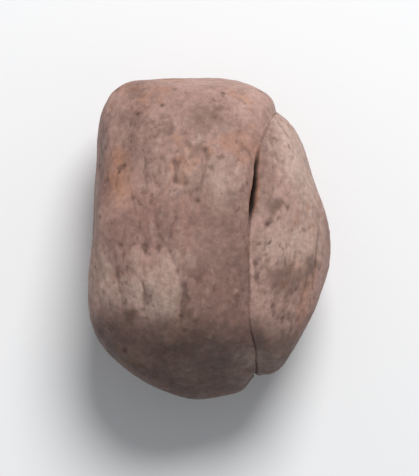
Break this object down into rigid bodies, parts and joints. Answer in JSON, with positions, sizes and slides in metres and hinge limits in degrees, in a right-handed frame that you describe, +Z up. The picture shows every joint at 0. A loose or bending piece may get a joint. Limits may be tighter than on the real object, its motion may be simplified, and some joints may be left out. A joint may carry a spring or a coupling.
{
  "type": "kola nut",
  "caption": "Whole dried kola nut: an oval, blunt-ended seed with a lengthwise seam between its unequal cotyledons, lying on a small flat spot.",
  "frame": {"origin": "on the surface that the nut lies on, under the middle of the nut's box", "axes": "+Y along the nut's length to its blunt end, +X across its width to the smaller cotyledon, +Z up through its thickness"},
  "size_m": [0.0228, 0.0304, 0.019],
  "materials": {
    "nut_skin": "matte"
  },
  "bodies": {
    "root": {"kola_nut": "nut_skin"}
  },
  "joints": []
}
